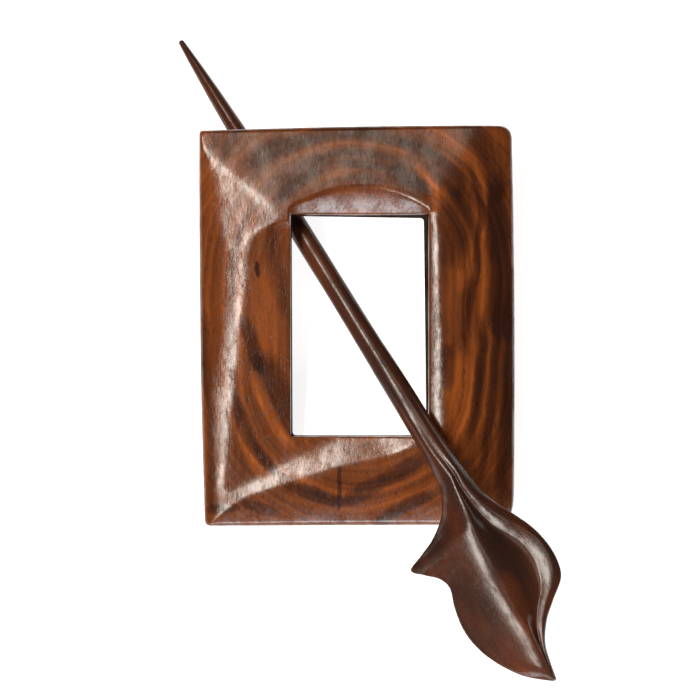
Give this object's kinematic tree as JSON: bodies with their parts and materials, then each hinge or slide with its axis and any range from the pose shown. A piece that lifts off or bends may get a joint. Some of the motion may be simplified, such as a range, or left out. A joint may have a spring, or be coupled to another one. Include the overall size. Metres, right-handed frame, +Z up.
{
  "type": "shawl pin",
  "caption": "Carved wooden shawl pin: a rectangular ring frame with a window, and a loose tapering stick with a leaf-shaped head that crosses it to hold cloth.",
  "frame": {"origin": "middle of the whole pin's box, on the table that it lies on", "axes": "+Y towards the point of the stick and the frame's top bar, +X to the right as the pin is seen from its front, +Z up from the table"},
  "size_m": [0.0746, 0.1288, 0.0214],
  "materials": {
    "frame_wood": "satin varnish over banded dark and orange-brown hardwood",
    "stick_wood": "satin varnish over dark chocolate-brown hardwood"
  },
  "bodies": {
    "frame": {"frame": "frame_wood"},
    "stick": {"stick": "stick_wood"}
  },
  "joints": [
    {"name": "stick_draw", "type": "slide", "parent": "frame", "child": "stick", "axis": [0.5153, -0.8472, 0.1296], "range_m": [0, 0.118]}
  ]
}
